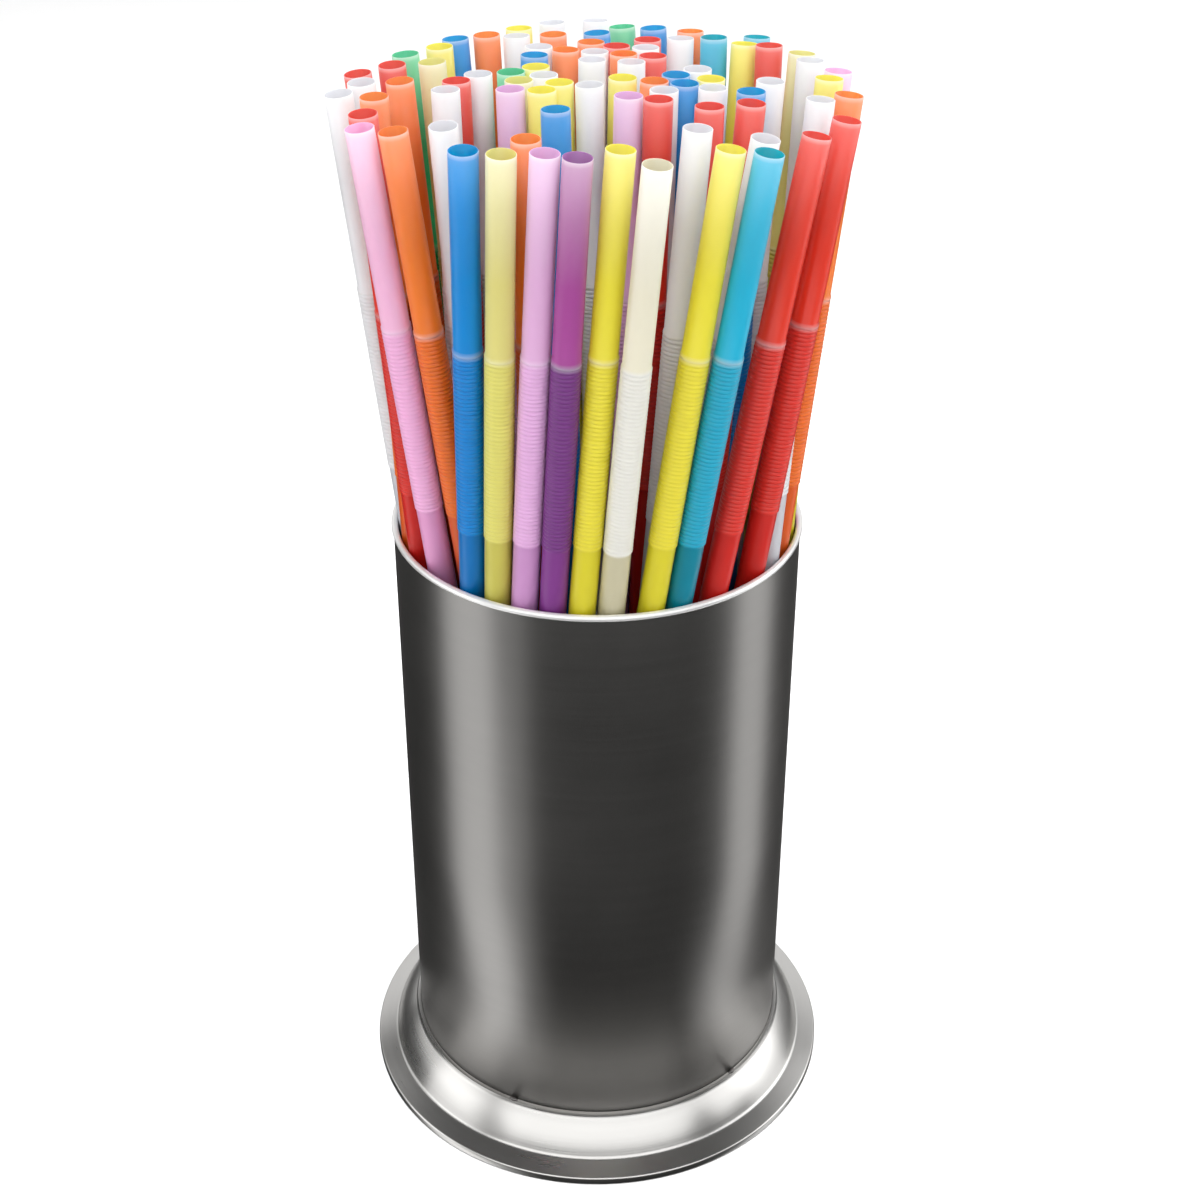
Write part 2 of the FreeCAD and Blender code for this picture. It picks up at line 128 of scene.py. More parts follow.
class Board:
    """The node tree of one material or of the world."""

    def __init__(self, owner: Union[bpy.types.Material, bpy.types.World]) -> None:
        """Clear the owner's tree and keep it."""
        owner.use_nodes = True
        self.tree = owner.node_tree
        self.tree.nodes.clear()

    def node(
        self,
        kind: str,
        settings: dict[str, Any] | None = None,
        inputs: dict[Union[str, int], Value] | None = None,
        output: Union[str, int] = 0,
    ) -> Wire:
        """Add one node.

        Args:
            kind: The node's type.
            settings: Properties that are set first; stops holds a ramp's positions and colours.
            inputs: A value or a wire for each named or numbered input.
            output: The output that is handed back.

        Returns:
            The wire that leaves the node, or its first input where it has no output.
        """
        item = self.tree.nodes.new(kind)
        for name, value in (settings or {}).items():
            if name == "stops":
                self.set_stops(item.color_ramp, value)
            else:
                setattr(item, name, value)
        for name, value in (inputs or {}).items():
            socket = item.inputs[name]
            if isinstance(value, Wire):
                self.tree.links.new(value.socket, socket)
            else:
                socket.default_value = value
        return Wire(self, item.outputs[output] if item.outputs else item.inputs[0])

    @staticmethod
    def set_stops(ramp: bpy.types.ColorRamp, stops: Sequence[tuple[float, Colour]]) -> None:
        """Give a ramp its stops.

        Args:
            ramp: The ramp of a colour ramp node.
            stops: Position and colour of each stop, in order.
        """
        while len(ramp.elements) < len(stops):
            ramp.elements.new(1.0)
        for element, (position, colour) in zip(ramp.elements, stops):
            element.position = position
            element.color = (*colour, 1.0)

    def sum_of(self, operation: str, first: Value, second: Value) -> Wire:
        """One Math node on two values."""
        return self.node("ShaderNodeMath", {"operation": operation}, {0: first, 1: second})

    def place(self, record: str = "") -> Wire:
        """Where a point of the surface is, in metres: on the piece, or as its mesh recorded it."""
        if record:
            return self.node("ShaderNodeAttribute", {"attribute_name": record}, output="Vector")
        return self.node("ShaderNodeTexCoord", output="Object")

    def height(self, record: str = "") -> Wire:
        """How high a point of the surface is, in metres: on the piece, or as its mesh recorded it."""
        return self.node("ShaderNodeSeparateXYZ", None, {"Vector": self.place(record)}, output="Z")

    def noise(self, texture: Texture, record: str = "") -> Wire:
        """Noise over the piece, from 0 to 1.

        Args:
            texture: How the noise looks.
            record: The mesh's own record of its points, where the noise follows that.

        Returns:
            The noise's value.
        """
        stretched = self.node("ShaderNodeMapping", {"vector_type": "POINT"},
                              {"Vector": self.place(record), "Scale": texture.scale})
        return self.node("ShaderNodeTexNoise", None, {
            "Vector": stretched, "Scale": 1.0,
            "Detail": texture.detail, "Roughness": texture.roughness,
        })

    def ramp(self, value: Wire, stops: Sequence[tuple[float, Colour]]) -> Wire:
        """Colours picked from a ramp by a value."""
        return self.node("ShaderNodeValToRGB", {"stops": stops}, {"Fac": value})

    def blend(self, share: Value, first: Value, second: Value) -> Wire:
        """A mix of two colours.

        Args:
            share: How much of the second colour there is.
            first: The colour where share is 0.
            second: The colour where share is 1.

        Returns:
            The mixed colour.
        """
        return self.node("ShaderNodeMix", {"data_type": "RGBA"}, {
            0: share, 6: self.opaque(first), 7: self.opaque(second),
        }, output=2)

    @staticmethod
    def opaque(colour: Value) -> Value:
        """A plain colour with full alpha, or a wire as it is."""
        return colour if isinstance(colour, Wire) else (*colour, 1.0)

    def bumped(self, relief: Wire, strength: float, depth: float) -> Wire:
        """A surface direction that a relief disturbs, its depth in metres."""
        return self.node("ShaderNodeBump", None, {
            "Height": relief, "Strength": strength, "Distance": depth,
        }, output="Normal")

    def show(self, surface: Wire) -> None:
        """Send a shader to the material's output."""
        self.node("ShaderNodeOutputMaterial", None, {"Surface": surface})


# Finishes


GRAIN = Texture((14.0, 14.0, 2600.0), 3.0, 0.6)
STREAK = Texture((30.0, 30.0, 420.0), 2.0, 0.5)
SMUDGE = Texture((28.0, 28.0, 20.0), 4.0, 0.55)
SCRATCH = Texture((240.0, 900.0, 240.0), 2.0, 0.7)
PLASTIC_CLOUD = Texture((90.0, 90.0, 30.0), 2.0, 0.5)
PLASTIC_LINES = Texture((700.0, 700.0, 6.0), 2.0, 0.5)
FLOOR_CLOUD = Texture((3.0, 3.0, 3.0), 2.0, 0.5)
MIDDLE_OF_NOISE = 0.5


@dataclass(frozen=True)
class SteelFinish:
    """Brushed or pressed stainless steel sheet, painted paler and less metallic above a given height as
    a painted highlight along a lit edge.
    """

    name: str
    light: Colour
    dark: Colour
    roughness: float
    anisotropy: float
    grain: float
    smudge: float
    # Above this height the sheet takes a painted highlight: a paler tone and less metal. The default of
    # 1 m is above every piece.
    lit_lip_above: float = 1.0
    lip_highlight_tone: Colour = (0.90, 0.90, 0.89)
    lip_highlight_metal_loss: float = 0.35
    smudge_in_tone: float = 0.7
    streak_in_tone: float = 0.3
    grain_in_roughness: float = 0.08
    grain_in_relief: float = 0.6
    streak_in_relief: float = 0.3
    scratch_in_relief: float = 0.8
    scratch_sharpness: float = 6.0
    relief_depth: float = 0.00006
    grain_turn: float = 0.25

    def material(self) -> bpy.types.Material:
        """Build the material.

        Returns:
            A metal whose fine grain runs round the axis, with soft smudges and scratches.
        """
        made = bpy.data.materials.new(self.name)
        board = Board(made)
        grain = board.noise(GRAIN)
        streak = board.noise(STREAK)
        smudge = board.noise(SMUDGE)
        scratch = board.noise(SCRATCH) ** self.scratch_sharpness
        # The mask of the painted highlight: everything above the given height.
        lip_highlight = board.sum_of("GREATER_THAN", board.height(), self.lit_lip_above)
        sheet = board.blend(smudge * self.smudge_in_tone + streak * self.streak_in_tone,
                            self.dark, self.light)
        rough = (self.roughness + (smudge - MIDDLE_OF_NOISE) * self.smudge
                 + (grain - MIDDLE_OF_NOISE) * self.grain_in_roughness)
        relief = (grain * self.grain_in_relief + streak * self.streak_in_relief
                  + scratch * self.scratch_in_relief)
        board.show(board.node("ShaderNodeBsdfPrincipled", None, {
            "Base Color": board.blend(lip_highlight, sheet, self.lip_highlight_tone),
            "Metallic": 1.0 - lip_highlight * self.lip_highlight_metal_loss,
            "Roughness": rough,
            "Anisotropic": self.anisotropy,
            "Anisotropic Rotation": self.grain_turn,
            "Normal": board.bumped(relief, self.grain, self.relief_depth),
        }))
        return made


@dataclass(frozen=True)
class StrawFinish:
    """Translucent plastic of one colour, with painted shade below the neck and on the inner wall, and
    painted light towards the top of the straw.
    """

    name: str
    slot: str
    upper: Colour
    ribbed: Colour
    # The colour below the neck and on the inner wall is darker: painted shade.
    lower: Colour
    # The share of white in the painted wash of light at the top of the straw.
    top_light_wash: float
    roughness: float = 0.30
    cloud_in_roughness: float = 0.06
    lines_in_roughness: float = 0.04
    lines_strength: float = 0.05
    lines_depth: float = 0.00003
    refraction: float = 1.45
    clearness: float = 0.22
    softness: float = 0.35
    scatter: float = 0.004
    white: float = 0.92
    fold: float = 0.0010
    # Shares of white in the painted highlight rings at the lower and upper end of the neck.
    lower_ring_glint: float = 0.12
    upper_ring_glint: float = 0.28
    # From here the colour is washed towards white up to the top: painted light. The lip adds a further
    # painted glint.
    light_wash_start: float = 0.90
    light_wash_end: float = 0.996
    lip_start: float = 0.9985
    lip_glint: float = 0.25

    def material(self) -> bpy.types.Material:
        """Build the material.

        Returns:
            A thin plastic that lets light through, with a painted highlight ring at each end of the
            neck, painted shade on the inner wall and below the neck, and a painted wash of light at the
            top.
        """
        made = bpy.data.materials.new(self.name)
        board = Board(made)
        flat = board.node("ShaderNodeMapping", {"vector_type": "POINT"},
                          {"Vector": board.place(STRAW_RECORD), "Scale": (1.0, 1.0, 0.0)})
        across = board.node("ShaderNodeVectorMath", {"operation": "LENGTH"}, {0: flat}, output="Value")
        # The inner wall takes the darker colour below the neck: painted shade inside the tube.
        inside = board.sum_of("LESS_THAN", across, STRAW_MIDDLE)
        cloud = board.noise(PLASTIC_CLOUD, STRAW_RECORD)
        lines = board.noise(PLASTIC_LINES, STRAW_RECORD)
        share = board.height(STRAW_RECORD) * (1.0 / STRAW_LENGTH)
        rough = (self.roughness + (cloud - MIDDLE_OF_NOISE) * self.cloud_in_roughness
                 + (lines - MIDDLE_OF_NOISE) * self.lines_in_roughness)
        board.show(board.node("ShaderNodeBsdfPrincipled", None, {
            "Base Color": board.blend(inside, board.ramp(share, self.stops()), self.lower),
            "Roughness": rough,
            "IOR": self.refraction,
            "Transmission Weight": self.clearness,
            "Subsurface Weight": self.softness,
            "Subsurface Radius": (self.scatter, self.scatter, self.scatter),
            "Subsurface Scale": 1.0,
            "Normal": board.bumped(lines, self.lines_strength, self.lines_depth),
        }))
        return made

    def stops(self) -> list[tuple[float, Colour]]:
        """The colours up the straw: painted shade below the neck, a painted highlight ring at each end
        of the neck, and a painted wash of light towards the top.

        Returns:
            The share of the straw's length where each colour stands, and the colour.
        """
        start, end = NECK_START / STRAW_LENGTH, (NECK_START + NECK_LENGTH) / STRAW_LENGTH
        # Painted highlight rings at both ends of the neck.
        lower_ring_glint = self.towards_white(self.ribbed, self.lower_ring_glint)
        upper_ring_glint = self.towards_white(self.ribbed, self.upper_ring_glint)
        return [
            # Below the neck the straw is darker: painted shade.
            (0.0, self.lower),
            (start - self.fold, self.lower),
            (start, lower_ring_glint),
            (start + self.fold, lower_ring_glint),
            (start + 2.0 * self.fold, self.ribbed),
            (end, self.ribbed),
            (end + self.fold, upper_ring_glint),
            (end + 1.5 * self.fold, upper_ring_glint),
            (end + 2.5 * self.fold, self.upper),
            # The painted wash of light towards the top, and a painted glint at the lip.
            (self.light_wash_start, self.upper),
            (self.light_wash_end, self.towards_white(self.upper, self.top_light_wash)),
            (self.lip_start, self.towards_white(self.upper, self.top_light_wash + self.lip_glint)),
        ]

    def towards_white(self, colour: Colour, share: float) -> Colour:
        """A colour with a share of white in it."""
        return tuple(part + (self.white - part) * share for part in colour)


class StrawColour(Enum):
    """The colours that the straws come in: each above, on and below the neck, the last darkened as
    painted shade, and the share of painted light that washes its top white.
    """

    WHITE = StrawFinish("white_plastic", "straw_white",
                        (0.84, 0.84, 0.86), (0.80, 0.80, 0.82), (0.62, 0.63, 0.68), 0.30)
    IVORY = StrawFinish("ivory_plastic", "straw_cream",
                        (0.88, 0.83, 0.64), (0.84, 0.83, 0.76), (0.60, 0.55, 0.36), 0.55)
    PRIMROSE = StrawFinish("primrose_plastic", "straw_cream",
                           (0.76, 0.68, 0.20), (0.76, 0.70, 0.15), (0.62, 0.56, 0.09), 0.32)
    YELLOW = StrawFinish("yellow_plastic", "straw_yellow",
                         (0.88, 0.77, 0.04), (0.84, 0.72, 0.04), (0.76, 0.66, 0.02), 0.14)
    ORANGE = StrawFinish("orange_plastic", "straw_orange",
                         (0.95, 0.19, 0.02), (0.88, 0.15, 0.015), (0.78, 0.10, 0.01), 0.05)
    RED = StrawFinish("red_plastic", "straw_red",
                      (0.80, 0.035, 0.015), (0.70, 0.03, 0.02), (0.66, 0.015, 0.01), 0.04)
    PINK = StrawFinish("pink_plastic", "straw_pink",
                       (0.94, 0.48, 0.72), (0.93, 0.44, 0.74), (0.84, 0.34, 0.64), 0.28)
    LILAC = StrawFinish("lilac_plastic", "straw_lilac",
                        (0.78, 0.42, 0.72), (0.80, 0.42, 0.76), (0.62, 0.28, 0.60), 0.25)
    PURPLE = StrawFinish("purple_plastic", "straw_purple",
                         (0.38, 0.06, 0.30), (0.17, 0.035, 0.21), (0.22, 0.04, 0.26), 0.22)
    BLUE = StrawFinish("blue_plastic", "straw_blue",
                       (0.0, 0.23, 0.68), (0.0, 0.20, 0.62), (0.0, 0.16, 0.52), 0.03)
    TEAL = StrawFinish("teal_plastic", "straw_teal",
                       (0.01, 0.44, 0.70), (0.01, 0.36, 0.56), (0.00, 0.22, 0.32), 0.05)
    GREEN = StrawFinish("green_plastic", "straw_green",
                        (0.04, 0.58, 0.22), (0.03, 0.50, 0.18), (0.02, 0.40, 0.14), 0.14)


# The cup's rolled lip, above 158.7 mm, carries the painted highlight.
CUP_STEEL = SteelFinish("cup_steel", (0.45, 0.44, 0.425), (0.375, 0.365, 0.355), 0.33, 0.60,
                        0.30, 0.06, lit_lip_above=158.7 * MM)
BASE_STEEL = SteelFinish("base_steel", (0.80, 0.79, 0.77), (0.68, 0.67, 0.65), 0.30, 0.40, 0.35, 0.14)
WELD_STEEL = SteelFinish("weld_steel", (0.30, 0.29, 0.28), (0.14, 0.13, 0.13), 0.45, 0.0, 0.50, 0.20)


# Modelling steps


def deselect_all() -> None:
    """Leave nothing selected, the solids of the frame included."""
    bpy.ops.object.select_all(action="DESELECT")


def pick(item: bpy.types.Object) -> None:
    """Make one object the only selected one, and the active one."""
    deselect_all()
    item.select_set(True)
    bpy.context.view_layer.objects.active = item


def ring(radius: float, height: float, sides: int) -> bpy.types.Object:
    """Start a turned piece.

    Args:
        radius: Radius of the first ring.
        height: Height of the first ring.
        sides: How many corners the ring has.

    Returns:
        A flat open ring in edit mode, all of it selected.
    """
    deselect_all()
    bpy.ops.mesh.primitive_circle_add(vertices=sides, radius=radius, fill_type="NOTHING",
                                      location=(0.0, 0.0, height))
    bpy.ops.object.transform_apply(location=True, rotation=True, scale=True)
    bpy.ops.object.mode_set(mode="EDIT")
    bpy.ops.mesh.select_all(action="SELECT")
    return bpy.context.active_object


def turned(name: str, section: Sequence[Point], sides: int, closed: bool = True) -> bpy.types.Object:
    """Model a piece of revolution ring by ring.

    Args:
        name: The piece's name.
        section: Radius and height of each ring in order, in metres.
        sides: How many corners each ring has.
        closed: Whether the last ring joins the first, as on a shell, or both ends are poles.

    Returns:
        The finished piece, smooth where its section turns gently.
    """
    radius, height = section[0]
    piece = ring(radius, height, sides)
    piece.name = piece.data.name = name
    for next_radius, next_height in list(section[1:]) + ([section[0]] if closed else []):
        rise = (0.0, 0.0, next_height - height)
        bpy.ops.mesh.extrude_region_move(TRANSFORM_OT_translate={"value": rise})
        factor = next_radius / radius
        bpy.ops.transform.resize(value=(factor, factor, 1.0), center_override=(0.0, 0.0, next_height))
        radius, height = next_radius, next_height
    bpy.ops.mesh.select_all(action="SELECT")
    bpy.ops.mesh.remove_doubles(threshold=WELDED_SHUT)
    bpy.ops.mesh.normals_make_consistent(inside=False)
    bpy.ops.object.mode_set(mode="OBJECT")
    pick(piece)
    bpy.ops.object.shade_smooth_by_angle(angle=math.radians(SMOOTH_BELOW))
    return piece


def arc(centre: Point, radius: float, start: float, end: float, steps: int) -> list[Point]:
    """Points of a round in a section.

    Args:
        centre: Radius and height of the round's centre.
        radius: The round's own radius.
        start: First angle in degrees, from the outward direction towards up.
        end: Last angle in degrees.
        steps: How many chords it has.

    Returns:
        The points, both ends included.
    """
    angles = [math.radians(start + (end - start) * step / steps) for step in range(steps + 1)]
    return [(centre[0] + radius * math.cos(a), centre[1] + radius * math.sin(a)) for a in angles]


def hand_over(piece: bpy.types.Object, body: str, slot: str, nodes: Iterable[str],
              finish: bpy.types.Material) -> None:
    """Give a finished piece its material and body, hide the solids that it stands for, and log the slot
    that it fills.

    Args:
        piece: The finished piece.
        body: The body that it moves with.
        slot: The material slot that it fills.
        nodes: The solids that it stands for.
        finish: Its material.
    """
    piece.data.materials.clear()
    piece.data.materials.append(finish)
    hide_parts(*nodes)
    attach(piece, body)
    log.info("%s rides on %s, slot %s, %d faces", piece.name, body, slot, len(piece.data.polygons))


# The steel holder


@dataclass
class Holder:
    """The cup, its floor, the flared base and the welds between them, sizes in metres."""

    cup_radius: float = 48.0 * MM
    cup_sheet: float = 0.7 * MM
    cup_height: float = 160.0 * MM
    cup_foot: float = 1.2 * MM
    bead_radius: float = 0.8 * MM
    edge_break: float = 0.15 * MM
    floor_height: float = 3.6 * MM
    floor_sheet: float = 0.8 * MM
    floor_flange: float = 1.4 * MM
    floor_fit: float = 0.05 * MM
    floor_bend: float = 0.6 * MM
    base_radius: float = 60.0 * MM
    base_sheet: float = 0.8 * MM
    base_height: float = 12.4 * MM
    base_fit: float = 0.12 * MM
    collar_height: float = 1.0 * MM
    collar_flat: float = 0.3
    collar_slope: float = 0.2 * MM
    collar_fillet: float = 0.25 * MM
    crease_radius: float = 54.8 * MM
    crease_height: float = 3.8 * MM
    dome_radius: float = 26.0 * MM
    crease_ease: float = 0.6 * MM
    skirt_angle: float = 18.0
    rim_round: float = 0.6 * MM
    hem_width: float = 2.6 * MM
    weld_radius: float = 1.0 * MM
    weld_count: int = 5
    weld_squash: Triple = (0.55, 1.1, 0.55)
    first_weld: float = -26.0
    sides: int = 192

    def build(self) -> None:
        """Model every steel piece and hand each one over."""
        cup = CUP_STEEL.material()
        base = BASE_STEEL.material()
        hand_over(self.cup_shell(), HOLDER, "cup_steel", ["cup_wall"], cup)
        hand_over(self.cup_bottom(), HOLDER, "cup_steel", ["cup_floor"], cup)
        hand_over(self.base_shell(), HOLDER, "base_steel", ["flared_base"], base)
        hand_over(self.welds(), HOLDER, "base_steel", ["tack_welds"], WELD_STEEL.material())

    def cup_shell(self) -> bpy.types.Object:
        """The tube with its rolled lip.

        Returns:
            A closed shell, open at both ends of the tube.
        """
        inside = self.cup_radius - self.cup_sheet
        centre = (self.cup_radius - self.cup_sheet / 2.0, self.cup_height - self.bead_radius)
        neck = math.degrees(math.acos(self.cup_sheet / 2.0 / self.bead_radius))
        bead = arc(centre, self.bead_radius, -neck, 180.0 + neck, BEAD_STEPS)
        section = [
            (inside, self.cup_foot + self.edge_break),
            (inside + self.edge_break, self.cup_foot),
            (self.cup_radius - self.edge_break, self.cup_foot),
            (self.cup_radius, self.cup_foot + self.edge_break),
            (self.cup_radius, self.cup_height * 0.5),
            *bead,
            (inside, self.cup_height * 0.5),
        ]
        return turned("cup_shell", section, self.sides)

    def cup_bottom(self) -> bpy.types.Object:
        """The pressed disc in the foot of the tube.

        Returns:
            A disc with its edge turned down.
        """
        edge = self.cup_radius - self.cup_sheet - self.floor_fit
        under = self.floor_height - self.floor_sheet
        centre = (edge - self.floor_bend, self.floor_height - self.floor_bend)
        crown = arc(centre, self.floor_bend, 0.0, 90.0, ROUND_STEPS)
        section = [
            (POLE, under),
            (edge - self.floor_sheet, under),
            (edge - self.floor_sheet, under - self.floor_flange),
            (edge, under - self.floor_flange),
            *crown,
            (POLE, self.floor_height),
        ]
        return turned("cup_bottom", section, self.sides, closed=False)

    def base_shell(self) -> bpy.types.Object:
        """The pressed ring under the cup.

        Returns:
            A closed shell with a collar, a domed shoulder, a crease, a skirt and a rolled rim.
        """
        collar = self.cup_radius + self.base_fit
        top = self.base_height + self.collar_height
        shoulder = self.dome(collar + self.base_sheet, self.base_height, self.crease_radius,
                             self.crease_height, self.dome_radius)
        under_crease = self.crease_radius - self.base_sheet
        lining = self.dome(collar, self.base_height - self.base_sheet, under_crease,
                           self.crease_height - self.base_sheet, self.dome_radius - self.base_sheet)
        rim = self.base_radius - self.rim_round
        slope = math.tan(math.radians(self.skirt_angle))
        rim_top = self.crease_height - (rim - self.crease_radius) * slope - self.rim_round
        rolled = (
            arc((rim, rim_top), self.rim_round, 90.0 - self.skirt_angle, 0.0, ROUND_STEPS)
            + arc((rim, self.rim_round), self.rim_round, 0.0, -90.0, ROUND_STEPS)
        )
        hem = rim - self.hem_width
        below_crease = (self.crease_radius + self.crease_ease,
                        self.crease_height - self.crease_ease * slope)
        section = [
            (collar, top),
            (collar + self.base_sheet * self.collar_flat, top),
            (collar + self.base_sheet, top - self.collar_slope),
            (collar + self.base_sheet, self.base_height + self.collar_fillet),
            *shoulder[:-2],
            *self.soft_bend(shoulder[-2], shoulder[-1], below_crease),
            *rolled,
            (hem, 0.0),
            (hem, self.crease_height - self.base_sheet - (hem - under_crease) * slope),
            *reversed(lining),
        ]
        return turned("base_shell", section, self.sides)

    @staticmethod
    def soft_bend(start: Point, corner: Point, end: Point) -> list[Point]:
        """Points of a bend in place of a corner.

        Args:
            start: Where the bend leaves one run.
            corner: The corner that it cuts.
            end: Where the bend joins the other run.

        Returns:
            Both ends and the points between them.
        """
        bend = []
        for step in range(BEND_STEPS + 1):
            share = step / BEND_STEPS
            weights = ((1.0 - share) ** 2, 2.0 * share * (1.0 - share), share ** 2)
            bend.append(tuple(sum(w * p[axis] for w, p in zip(weights, (start, corner, end)))
                              for axis in range(2)))
        return bend

    @staticmethod
    def dome(inner: float, high: float, outer: float, low: float, radius: float) -> list[Point]:
        """Points of a round that falls outwards.

        Args:
            inner: Radius of the point where it starts.
            high: Height of that point.
            outer: Radius of the point where it ends.
            low: Height of that point.
            radius: The round's own radius.

        Returns:
            Both ends and the points between them.
        """
        span, fall = outer - inner, high - low
        chord = math.hypot(span, fall)
        depth = math.sqrt(radius ** 2 - (chord / 2.0) ** 2)
        centre = ((inner + outer) / 2.0 - depth * fall / chord,
                  (high + low) / 2.0 - depth * span / chord)
        start = math.degrees(math.atan2(high - centre[1], inner - centre[0]))
        end = math.degrees(math.atan2(low - centre[1], outer - centre[0]))
        return arc(centre, radius, start, end, DOME_STEPS)

    def welds(self) -> bpy.types.Object:
        """The tack welds on the collar.

        Returns:
            One piece with a small flattened bead for each weld.
        """
        top = self.base_height + self.collar_height
        centre = self.cup_radius + self.base_fit + self.base_sheet / 2.0
        round_of_bead = arc((0.0, 0.0), self.weld_radius, -90.0, 90.0, WELD_STEPS)
        section = [(max(radius, POLE), height) for radius, height in round_of_bead]
        flat = Matrix.Diagonal((*self.weld_squash, 1.0))
        beads = []
        for number in range(self.weld_count):
            angle = math.radians(self.first_weld + number * FULL_TURN / self.weld_count - 90.0)
            bead = turned(f"weld_{number}", section, WELD_SIDES, closed=False)
            turn = Matrix.Rotation(angle, 4, "Z")
            place = Vector((centre * math.cos(angle), centre * math.sin(angle), top))
            bead.matrix_world = Matrix.Translation(place) @ turn @ flat
            pick(bead)
            bpy.ops.object.transform_apply(location=True, rotation=True, scale=True)
            beads.append(bead)
        deselect_all()
        for bead in beads:
            bead.select_set(True)
        bpy.context.view_layer.objects.active = beads[0]
        bpy.ops.object.join()
        beads[0].name = beads[0].data.name = "weld_beads"
        return beads[0]


# The straws


@dataclass(frozen=True)
class Stem:
    """The line that one straw stands on: its foot and its direction."""

    foot: Vector
    direction: Vector


def stems_of(node: str) -> list[Stem]:
    """Find the straws that a CAD node holds.

    Args:
        node: The node's name.

    Returns:
        The line of each of its loose tubes, in a steady order.
    """
    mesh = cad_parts[node].data
    points = np.array([v.co for v in mesh.vertices], float)
    _, place = np.unique(np.round(points / SAME_CORNER).astype(np.int64), axis=0, return_inverse=True)
    place = place.ravel()
    parent = list(range(place.max() + 1))

    def root(index: int) -> int:
        """The point that stands for all that a point is joined to."""
        while parent[index] != index:
            parent[index] = parent[parent[index]]
            index = parent[index]
        return index

    for polygon in mesh.polygons:
        corners = [root(int(place[corner])) for corner in polygon.vertices]
        for corner in corners[1:]:
            parent[root(corner)] = root(corners[0])
    tubes: dict[int, list[int]] = {}
    for index, where in enumerate(place):
        tubes.setdefault(root(int(where)), []).append(index)
    stems = [stem_through(points[members]) for members in tubes.values()]
    return sorted(stems, key=lambda stem: (round(stem.foot.x, 5), round(stem.foot.y, 5)))


def stem_through(points: np.ndarray) -> Stem:
    """The line through the middle of one tube.

    Args:
        points: The corners of the tube, in metres.

    Returns:
        The middle of the tube's lower end, and the way up from there.
    """
    middle = points.mean(0)
    _, _, axes = np.linalg.svd(points - middle, full_matrices=False)
    direction = axes[0] * math.copysign(1.0, axes[0][2])
    along = (points - middle) @ direction
    low = points[along < along.min() + END_BAND].mean(0)
    high = points[along > along.max() - END_BAND].mean(0)
    return Stem(Vector(low), Vector(high - low).normalized())


